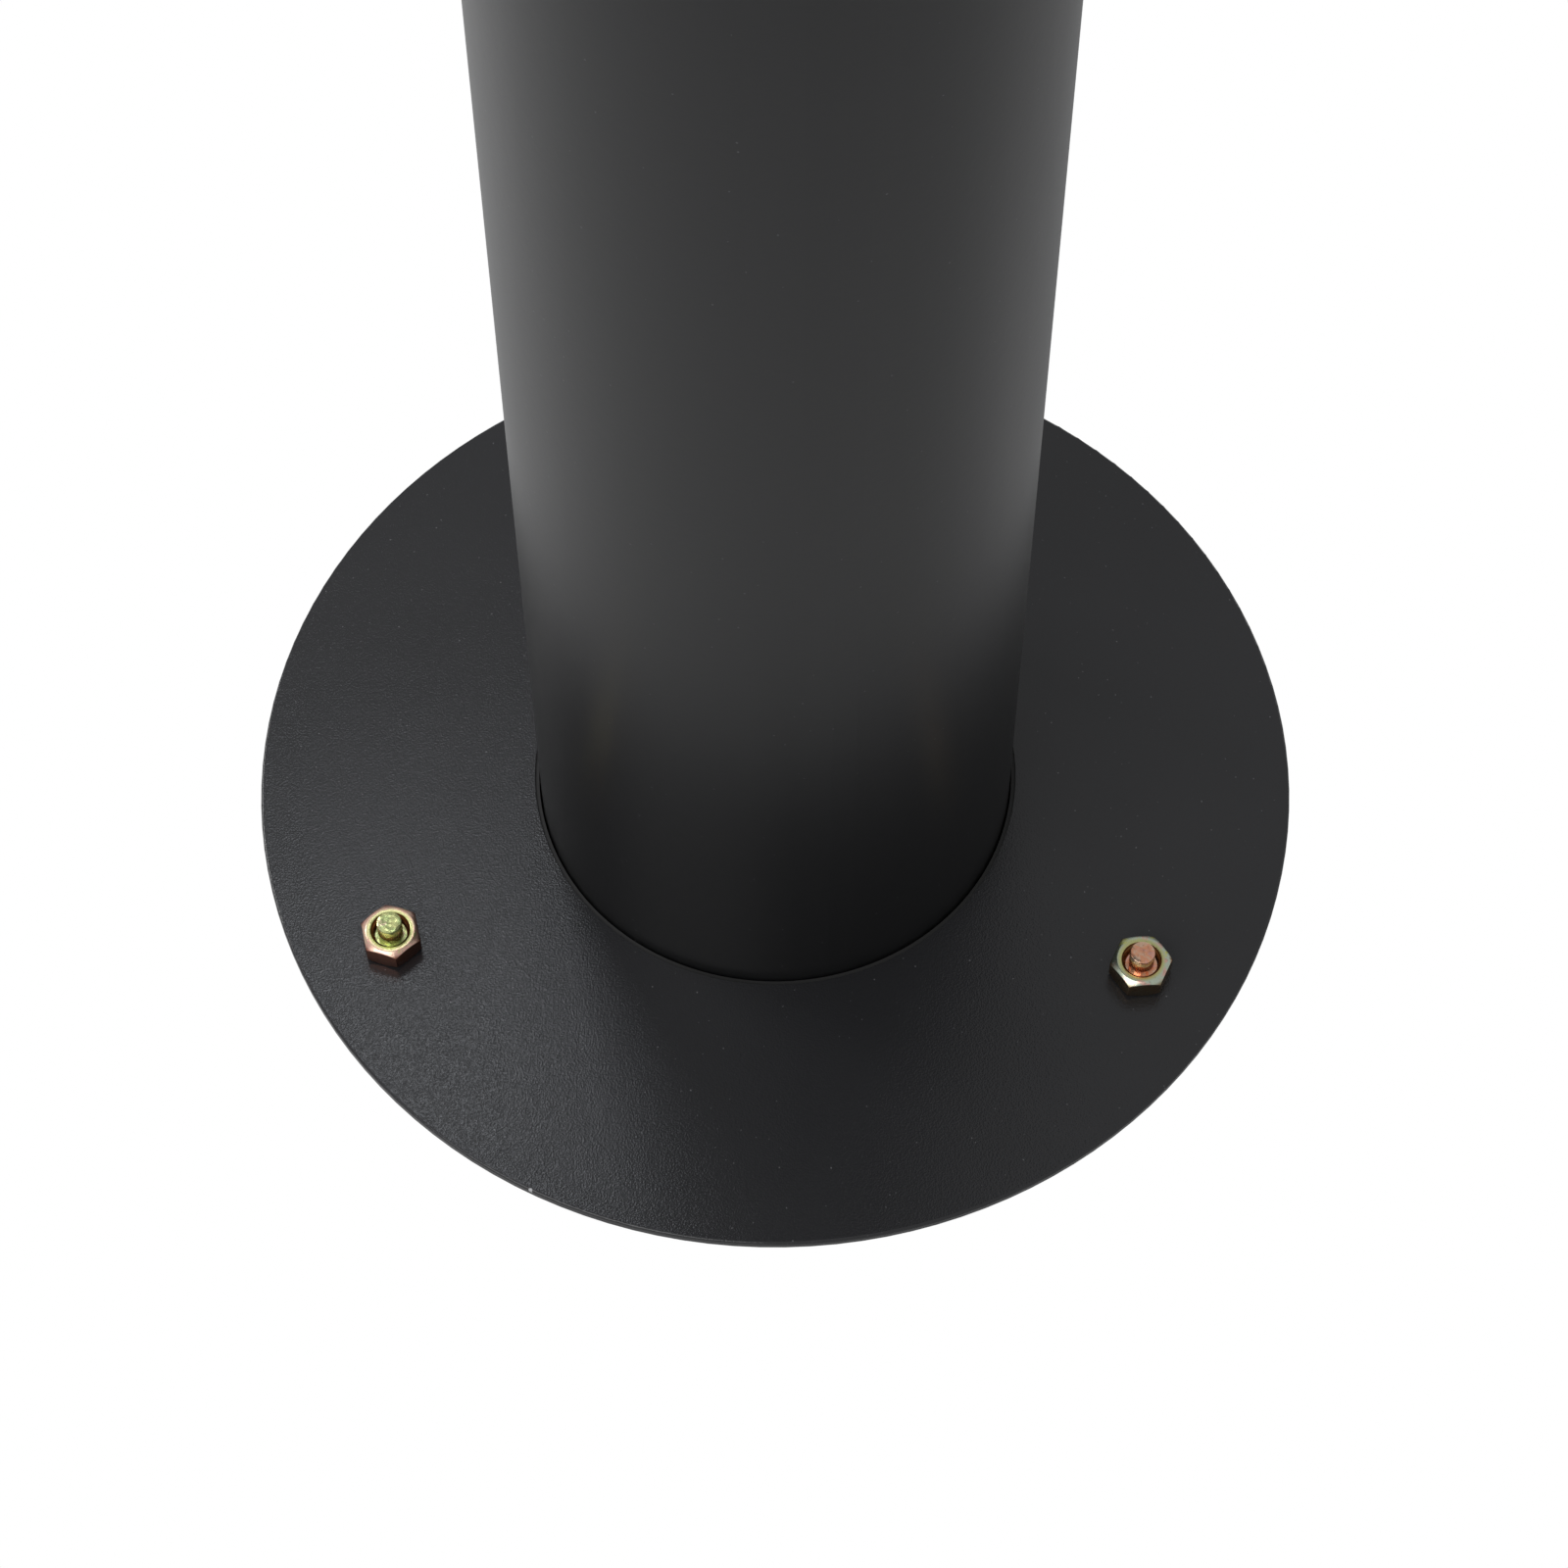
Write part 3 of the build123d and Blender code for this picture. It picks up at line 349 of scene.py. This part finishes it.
def stud_zinc(name, *end_colors):
    """Yellow zinc on a stud, with the film of its reduced end in its own colours."""
    metal = Finish(name, Metallic=1.0)
    film = metal.noise(2.6, detail=2.0, roughness=0.55, distortion=0.6)
    grain = metal.noise(0.35, detail=2.0)
    step = 0.4 / (len(end_colors) - 1)
    stops = [(0.30 + step * index, color) for index, color in enumerate(end_colors)]
    end = metal.ramp(metal.axis("Z"), thread_end - MM, thread_end)
    shank = metal.colors(film, (0.35, gold_film), (0.50, tan_film), (0.62, olive_film))
    color = metal.mix(end, shank, metal.colors(film, *stops))
    color = metal.mix(metal.ramp(metal.noise(0.9, detail=3.0), 0.60, 0.75) * 0.4, color, oil)
    dents = Value(metal, metal.cells(1.7)) * end + grain * 0.1
    return metal.set(Base_Color=color, Roughness=0.20 + grain * 0.16, Normal=metal.bump(dents, 0.30, 0.6))


def nut_zinc(name, center, painted_shade_color, ring_color, *face_colors):
    """Yellow zinc on one nut: a painted shade darkens the mouth, the film runs through a ring to the
    face's own colours, and the flanks carry the same painted shade as a painted reflection of the dark
    flange.
    """
    metal = Finish(name, Metallic=1.0)
    flat = metal.stretched(1, 1, 0)
    reach = metal.distance(flat, center)
    film = metal.noise(3.2, detail=2.0, roughness=0.55, distortion=0.5)
    grain = metal.noise(0.35, detail=2.0)
    radius = reach + (film - 0.5) * MM
    step = 0.4 / (len(face_colors) - 1)
    stops = [(0.30 + step * index, color) for index, color in enumerate(face_colors)]
    face = metal.mix(metal.ramp(radius, 5.0 * MM, 6.0 * MM), ring_color, metal.colors(film, *stops))
    # Painted shade: the mouth of the bore is darkened, standing in for shade in the countersink.
    color = metal.mix(metal.ramp(reach, nut_mouth_r, nut_mouth_r + nut_edge), painted_shade_color, face)
    color = metal.mix(metal.ramp(metal.noise(1.1, detail=3.0), 0.60, 0.75) * 0.4, color, oil)
    # Painted reflection: the flanks below the top edge take the dark shade colour, standing in for the
    # dark flange mirrored in them.
    painted_flank_reflection = metal.ramp(metal.axis("Z"), nuts_high.z - 0.5 * MM, nuts_high.z - 1.1 * MM)
    color = metal.mix(painted_flank_reflection * 0.9, color, painted_shade_color)
    return metal.set(Base_Color=color, Roughness=0.22 + grain * 0.16, Normal=metal.bump(grain, 0.03, 0.6))


def galvanised():
    """Hot-dip zinc with its spangle."""
    metal = Finish("galvanised", Metallic=1.0)
    spangle = metal.node("SeparateColor", {}, {"Color": metal.cells(7.5, output="Color")})
    flake = Value(metal, spangle.outputs[0])
    grain = metal.noise(0.8, detail=3.0)
    stain = metal.noise(55, detail=4.0, place=metal.stretched(1, 1, 0.3))
    shade = metal.mix(flake, (0.42, 0.44, 0.46), (0.60, 0.62, 0.63))
    color = metal.mix(metal.ramp(stain, 0.52, 0.75) * 0.5, shade, (0.68, 0.69, 0.68))
    rough = 0.36 + flake * 0.14 + stain * 0.12
    relief = metal.bump(flake * 0.3 + grain * 0.7, 0.05, 0.5)
    return metal.set(Base_Color=color, Roughness=rough, Normal=relief)


def brushed_stainless():
    """Satin stainless steel with fine scratches."""
    metal = Finish("brushed_stainless", Metallic=1.0)
    lines = metal.noise(0.6, detail=3.0, place=metal.stretched(0.05, 1, 1))
    smudge = metal.noise(18, detail=2.0)
    color = metal.mix(smudge, (0.56, 0.56, 0.55), (0.64, 0.64, 0.62))
    rough = 0.22 + lines * 0.14 + smudge * 0.05
    return metal.set(Base_Color=color, Roughness=rough, Normal=metal.bump(lines, 0.012, 0.4))


def plain_metal(name, dark, light, roughness, size_mm=6.0):
    """Machined metal with a faint cloud and turning grain."""
    metal = Finish(name, Metallic=1.0)
    cloud = metal.noise(size_mm, detail=3.0)
    grain = metal.noise(0.5, detail=2.0, place=metal.stretched(1, 1, 4))
    rough = roughness + cloud * 0.08 + grain * 0.06
    return metal.set(
        Base_Color=metal.mix(cloud, dark, light), Roughness=rough, Normal=metal.bump(grain, 0.015, 0.4)
    )


def plain_polymer(name, dark, light, roughness, depth_mm=0.03, coat=0.0):
    """Moulded or machined plastic, paint or rubber with a fine skin."""
    skin = Finish(name, Coat_Weight=coat)
    cloud = skin.noise(22, detail=3.0)
    grain = skin.noise(0.6, detail=3.0)
    return skin.set(
        Base_Color=skin.mix(cloud, dark, light),
        Roughness=roughness + grain * 0.08,
        Normal=skin.bump(grain, depth_mm, 0.5),
    )


def reflective_film():
    """Silver-white prismatic film: a fine honeycomb under a clear skin."""
    film = Finish("reflective_film", Coat_Weight=0.6, Coat_Roughness=0.12, Metallic=0.35)
    turn = film.node("Math", {"operation": "ARCTAN2"}, {0: film.axis("Y"), 1: film.axis("X")}).outputs[0]
    around = Value(film, turn) * tube_r
    flat = film.node("CombineXYZ", {}, {"X": around, "Y": film.axis("Z")}).outputs[0]
    comb = Value(film, film.cells(4.0, "DISTANCE_TO_EDGE", place=flat, randomness=0.0))
    walls = film.ramp(comb, 0.10, 0.04)
    beads = film.noise(0.4, detail=1.0)
    face = film.mix(beads, (0.62, 0.64, 0.66), (0.74, 0.76, 0.78))
    color = film.mix(walls, face, (0.86, 0.87, 0.88))
    return film.set(Base_Color=color, Roughness=0.30 + beads * 0.12, Normal=film.bump(walls, 0.02, 0.6))


def weld_metal():
    """Ripples of weld under the zinc."""
    metal = Finish("weld_metal", Metallic=1.0)
    cloud = metal.noise(3.0, detail=3.0)
    return metal.set(
        Base_Color=metal.mix(cloud, (0.36, 0.37, 0.38), (0.56, 0.57, 0.57)),
        Roughness=0.38 + cloud * 0.2,
        Normal=metal.bump(cloud, 0.10, 0.6),
    )


gold_film = (0.78, 0.60, 0.28)
pink_film = (0.88, 0.50, 0.42)
tan_film = (0.84, 0.62, 0.46)
olive_film = (0.66, 0.66, 0.30)
leaf_film = (0.50, 0.60, 0.26)
grey_film = (0.62, 0.70, 0.56)
# Painted shade colour, not a film colour: it darkens the rear and left nuts' mouths and flanks.
painted_shade_red = (0.22, 0.07, 0.04)
# Painted shade colour, not a film colour: it darkens the right nut's mouth and flanks.
painted_shade_brown = (0.26, 0.17, 0.08)
oil = (0.20, 0.14, 0.09)
lemon_film = (0.74, 0.76, 0.26)
copper_film = (0.92, 0.42, 0.24)

finishes = {
    "tube_paint": satin_tube_paint(),
    "flange_paint": sand_flange_paint(),
    "cap_paint": plain_polymer("satin_cap_paint", (0.011, 0.011, 0.012), (0.015, 0.015, 0.016), 0.36),
    "yellow_zinc": yellow_zinc("yellow_zinc", gold_film, tan_film, olive_film, gold_film),
    "galvanised": galvanised(),
    "stainless": brushed_stainless(),
    "bright_rod": plain_metal("bright_rod", (0.70, 0.70, 0.71), (0.78, 0.78, 0.79), 0.10),
    "strut_paint": plain_polymer(
        "strut_paint", (0.012, 0.012, 0.012), (0.018, 0.018, 0.018), 0.22, coat=0.4
    ),
    "acetal": plain_polymer("acetal", (0.66, 0.65, 0.60), (0.74, 0.73, 0.69), 0.42, 0.02),
    "seal_rubber": plain_polymer("seal_rubber", (0.010, 0.010, 0.010), (0.018, 0.018, 0.018), 0.62, 0.05),
    "drain_plastic": plain_polymer("drain_plastic", (0.17, 0.18, 0.19), (0.21, 0.22, 0.23), 0.40),
    "cast_alloy": plain_metal("cast_alloy", (0.56, 0.57, 0.58), (0.70, 0.71, 0.72), 0.38),
    "lock_brass": plain_metal("lock_brass", (0.62, 0.44, 0.18), (0.76, 0.58, 0.28), 0.24),
    "latch_steel": plain_metal("latch_steel", (0.26, 0.26, 0.27), (0.38, 0.38, 0.38), 0.30),
    "reflective": reflective_film(),
}
weld = weld_metal()
olive_zinc = stud_zinc("olive_zinc", leaf_film, olive_film, leaf_film, tan_film)
copper_zinc = stud_zinc("copper_zinc", copper_film, tan_film, copper_film, pink_film)

for part in frame["record"]["subparts"]:
    node = frame["nodes"][part["node"]]
    node.data.materials.clear()
    node.data.materials.append(finishes[part["material_slot"]])

# ---- Anchors: nuts and threaded studs --------------------------------------------------------------


def nut_piece(name, turn, center, finish):
    """A hexagon nut: turned blank with chamfered corners and mouths, then six milled flats."""
    low, high = nuts_low.z, nuts_high.z
    corner = nut_flats / 2 / math.cos(math.pi / nut_sides)
    face = nut_flats / 2 * nut_face_share
    drop = (corner - face + nut_blank_spare) * math.tan(nut_chamfer)
    outer = corner + nut_blank_spare
    outline = [
        (nut_bore_r, low + nut_mouth_depth),
        (nut_mouth_r, low),
        (face, low),
        (outer, low + drop),
        (outer, high - drop),
        (face, high),
        (nut_mouth_r + nut_edge, high),
        (nut_mouth_r, high - nut_edge),
        (nut_mouth_r - nut_edge, high - nut_mouth_depth / 2),
        (nut_bore_r, high - nut_mouth_depth),
    ]
    bm = bmesh.new()
    add_turned(bm, outline, nut_steps)
    for side in range(nut_sides):
        angle = TURN * (side + 0.5) / nut_sides
        facing = Vector((math.cos(angle), math.sin(angle), 0))
        cut_flat(bm, facing * nut_flats / 2, facing)
    inner_edges = [edge for edge in bm.edges if len(edge.link_faces) == 2]
    bmesh.ops.bevel(
        bm,
        geom=[edge for edge in inner_edges if edge.calc_face_angle() > crease],
        offset=nut_edge,
        segments=2,
        profile=0.5,
        affect="EDGES",
        material=-1,
        clamp_overlap=True,
    )
    shift(bm, bm.verts[:], center, turn)
    return finish_piece(bm, name, finish, "casing")


def stud_piece(name, center, finish):
    """A wedge anchor: threaded top with a reduced end, plain shank, and a flared tip."""
    top = stud_top
    root_r = stud_r - thread_depth
    shank_r = stud_r - thread_depth * 0.5
    bm = bmesh.new()
    turns = int((thread_end - thread_from) / thread_pitch) + 3
    points = []
    for step in range(turns):
        base = thread_from - thread_pitch + step * thread_pitch
        points.append((root_r, base))
        points.append((stud_r, base + thread_pitch * thread_rise))
        points.append((stud_r, base + thread_pitch * thread_crest))
    points.append((root_r, thread_from - thread_pitch + turns * thread_pitch))
    verts = [bm.verts.new((radius, 0, height)) for radius, height in points]
    edges = [bm.edges.new(pair) for pair in zip(verts, verts[1:])]
    bmesh.ops.spin(
        bm,
        geom=verts + edges,
        cent=(0, 0, 0),
        axis=(0, 0, 1),
        dvec=(0, 0, thread_pitch / thread_steps),
        angle=TURN,
        steps=thread_steps,
        use_merge=False,
    )
    bmesh.ops.remove_doubles(bm, verts=bm.verts, dist=thread_merge_reach)
    cut_flat(bm, (0, 0, thread_from), (0, 0, -1))
    cut_flat(bm, (0, 0, thread_end), (0, 0, 1))
    dog = [
        (0, thread_end - MM),
        (dog_r, thread_end - MM),
        (dog_r, top - dog_round),
        (dog_r - dog_round * 0.3, top - dog_round * 0.3),
        (dog_r - dog_round, top),
        (dog_r * 0.6, top - 0.05 * MM),
        (dog_r * 0.3, top - 0.12 * MM),
        (0, top - 0.16 * MM),
    ]
    add_turned(bm, dog, dog_steps, closed=False)
    neck_top = sleeves_high.z + 0.05 * MM
    cone_top = sleeves_low.z
    shank = [
        (0, thread_from + MM),
        (shank_r, thread_from + MM),
        (shank_r, thread_from),
        (shank_r, neck_top),
        (shank_neck_r, neck_top - 0.3 * MM),
        (shank_neck_r, cone_top),
        (stud_r, ground - shank_tip + 2 * MM),
        (stud_r, ground - shank_tip + MM),
        (shank_tip_r, ground - shank_tip),
        (0, ground - shank_tip),
    ]
    add_turned(bm, shank, shank_steps, closed=False)
    shift(bm, bm.verts[:], center)
    return finish_piece(bm, name, finish, "casing", stud_smooth_below)


# The first colour of each nut is painted shade for its mouth and flanks; the rest are film colours.
nut_films = {
    "right": (painted_shade_brown, olive_film, lemon_film, grey_film, grey_film, pink_film, grey_film),
    "rear": (painted_shade_red, olive_film, pink_film, tan_film, olive_film, pink_film),
    "left": (painted_shade_red, olive_film, pink_film, tan_film, pink_film, olive_film),
}
stud_finishes = {"right": copper_zinc, "rear": olive_zinc, "left": olive_zinc}

for side_name, angle, turn in zip(anchor_names, anchor_angles, nut_turns):
    center = Vector((anchor_ring * math.cos(angle), anchor_ring * math.sin(angle), 0))
    nut_finish = nut_zinc("zinc_film_" + side_name, center, *nut_films[side_name])
    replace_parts(nut_piece("anchor_nut_" + side_name, turn, center, nut_finish), "anchor_nuts")
    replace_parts(stud_piece("anchor_stud_" + side_name, center, stud_finishes[side_name]), "anchor_studs")

# ---- Casing: weld beads and the tube's seam --------------------------------------------------------

bead = 4.0 * MM
bead_root = -0.3 * MM
ripple_pitch = 2.4 * MM
ripple_depth = 0.4 * MM
seam_width = 5.0 * MM
seam_height = 0.7 * MM
seam_turn = math.radians(48)
bead_steps = 720
bead_still = 0.2 * MM
seam_sink = 0.15 * MM
seam_root = 0.5 * MM
bead_crease = math.radians(60)


def ripple(along):
    """How far a bead swells at a distance along it, about 0 to 1, with one crescent per ripple."""
    return 0.5 + 0.5 * math.sin(TURN * along / ripple_pitch) + 0.18 * math.sin(along / (7.3 * MM))


def round_bead(name, radius, height, outline):
    """A weld round a tube, from an outline of (out, up) points about the joint, with its crescents."""
    bm = bmesh.new()
    add_turned(bm, [(radius + out, height + up) for out, up in outline], bead_steps)
    for vert in bm.verts:
        reach = Vector((vert.co.x, vert.co.y, 0))
        proud = reach.length - radius
        if proud > bead_still and abs(vert.co.z - ring_low.z) > bead_still:
            along = math.atan2(reach.y, reach.x) * radius + abs(vert.co.z - height) / 2
            vert.co += reach.normalized() * ripple(along) * ripple_depth
    return finish_piece(bm, name, weld, "casing", bead_crease)


def seam_strip(name, radius, turn, low, high):
    """The welded tube's long seam: a low crowned strip down one side, rippled along its length."""
    bm = bmesh.new()
    rows = 3
    count = int((high - low) / (ripple_pitch / 4))
    bmesh.ops.create_grid(bm, x_segments=rows + 1, y_segments=count, size=0.5)
    for vert in bm.verts:
        across, along = vert.co.x, vert.co.y + 0.5
        crown = math.cos(across * math.pi) * seam_height * (0.75 + 0.25 * ripple(along * (high - low)))
        angle = turn + across * seam_width / radius
        reach = radius - seam_sink + crown
        vert.co = Vector((reach * math.cos(angle), reach * math.sin(angle), low + along * (high - low)))
    edge = [item for item in bm.edges if item.is_boundary]
    skirt = bmesh.ops.extrude_edge_only(bm, edges=edge)["geom"]
    for vert in (item for item in skirt if isinstance(item, bmesh.types.BMVert)):
        shrink = (radius - seam_root) / math.hypot(vert.co.x, vert.co.y)
        vert.co.x *= shrink
        vert.co.y *= shrink
    bmesh.ops.holes_fill(bm, edges=[item for item in bm.edges if item.is_boundary])
    return finish_piece(bm, name, weld, "casing", bead_crease)


fillet = [
    (bead_root, 0),
    (bead, 0),
    (bead * 0.72, -bead * 0.42),
    (bead * 0.42, -bead * 0.72),
    (0, -bead),
    (bead_root, -bead),
]
butt = [
    (bead_root, -bead * 0.7),
    (0, -bead * 0.7),
    (bead * 0.2, -bead * 0.45),
    (bead * 0.3, 0),
    (bead * 0.2, bead * 0.45),
    (0, bead * 0.7),
    (bead_root, bead * 0.7),
]
round_bead("ring_weld", casing_r, ring_low.z, fillet)
round_bead("floor_weld", casing_r, casing_low.z, butt)
seam_strip("casing_seam", casing_r, seam_turn, casing_low.z + bead, ring_low.z - bead)

# ---- Stage, light and camera -----------------------------------------------------------------------

floor_r = 420 * MM
floor_gap = 0.5 * MM
floor_depth = 8 * MM
floor_drop = 0.1 * MM
floor_steps = 160
camera_place = (-0.0016, -0.5085, 0.8822)
camera_down = math.radians(60.17)
camera_turn = math.radians(-0.42)
camera_lens = 95.86
camera_sensor = 36.0
camera_near = 0.02
sky_color = (0.985, 0.99, 1.0, 1)
sky_strength = 0.46


def two_sided_white(tree, surface, output, kind):
    """Pure white where it is seen directly, and its own dimmer white in the light that it gives."""
    seen = add_node(tree, "LightPath").outputs["Is Camera Ray"]
    white = add_node(tree, kind, {}, {"Color": (1, 1, 1, 1)}).outputs[0]
    blend = add_node(tree, "MixShader", {}, {0: seen, 1: surface, 2: white})
    feed(tree, output, blend.outputs[0])


def stage_floor():
    """A plain pale slab round the casing, its top just under ground level."""
    top = ground - floor_drop
    inner_r = ring_r + floor_gap
    outline = [(inner_r, top), (inner_r, top - floor_depth), (floor_r, top - floor_depth), (floor_r, top)]
    bm = bmesh.new()
    add_turned(bm, outline, floor_steps)
    bmesh.ops.recalc_face_normals(bm, faces=bm.faces)
    mesh = bpy.data.meshes.new("stage_floor")
    bm.to_mesh(mesh)
    bm.free()
    floor = bpy.data.objects.new("stage_floor", mesh)
    bpy.context.scene.collection.objects.link(floor)
    pale = Finish("stage_white")
    cloud = pale.noise(300, detail=1.0)
    pale.set(Base_Color=pale.mix(cloud, (0.63, 0.63, 0.63), (0.65, 0.65, 0.65)), Roughness=0.8)
    tree = pale.tree
    surface = tree.nodes["Material Output"].inputs["Surface"]
    two_sided_white(tree, pale.shader.outputs[0], surface, "Emission")
    floor.data.materials.append(pale.material)
    edge = Finish("stage_edge")
    edge.set(Base_Color=edge.mix(edge.noise(90), (0.80, 0.80, 0.80), (0.86, 0.86, 0.86)), Roughness=0.8)
    floor.data.materials.append(edge.material)
    for face in floor.data.polygons:
        face.material_index = 0 if face.normal.z > 0.5 else 1


def area_light(name, place, target, width, power, tone):
    """A square softbox that faces its target."""
    data = bpy.data.lights.new(name, "AREA")
    data.shape = "RECTANGLE"
    data.size = width
    data.size_y = width
    data.energy = power
    data.color = tone
    lamp = bpy.data.objects.new(name, data)
    lamp.location = place
    lamp.rotation_euler = (Vector(target) - Vector(place)).to_track_quat("-Z", "Y").to_euler()
    bpy.context.scene.collection.objects.link(lamp)


def studio():
    """White surroundings and three softboxes: behind, in front on the left, and low on the left."""
    world = bpy.data.worlds.new("white_studio")
    world.use_nodes = True
    sky = world.node_tree.nodes["Background"]
    sky.inputs["Color"].default_value = sky_color
    sky.inputs["Strength"].default_value = sky_strength
    surface = world.node_tree.nodes["World Output"].inputs["Surface"]
    two_sided_white(world.node_tree, sky.outputs[0], surface, "Background")
    bpy.context.scene.world = world
    bpy.context.scene.view_settings.view_transform = "Standard"
    cool = (0.90, 0.94, 1.0)
    neutral = (1, 1, 1)
    area_light("softbox_back", (-0.153, 0.255, 0.718), (-0.085, -0.085, 0), 0.10, 0.22, cool)
    area_light("softbox_front", (-0.9, -1.2, 1.5), (-0.1, 0, 0), 1.5, 19, neutral)
    area_light("softbox_left", (-0.5, 0.24, 0.42), (-0.24, 0.08, 0), 0.2, 1.25, neutral)


def camera():
    """Close, from the front and high up, looking down at the foot of the post."""
    data = bpy.data.cameras.new("camera")
    data.lens = camera_lens
    data.sensor_width = camera_sensor
    data.clip_start = camera_near
    eye = bpy.data.objects.new("camera", data)
    eye.location = camera_place
    eye.rotation_euler = (math.pi / 2 - camera_down, 0, camera_turn)
    bpy.context.scene.collection.objects.link(eye)
    bpy.context.scene.camera = eye


stage_floor()
studio()
camera()
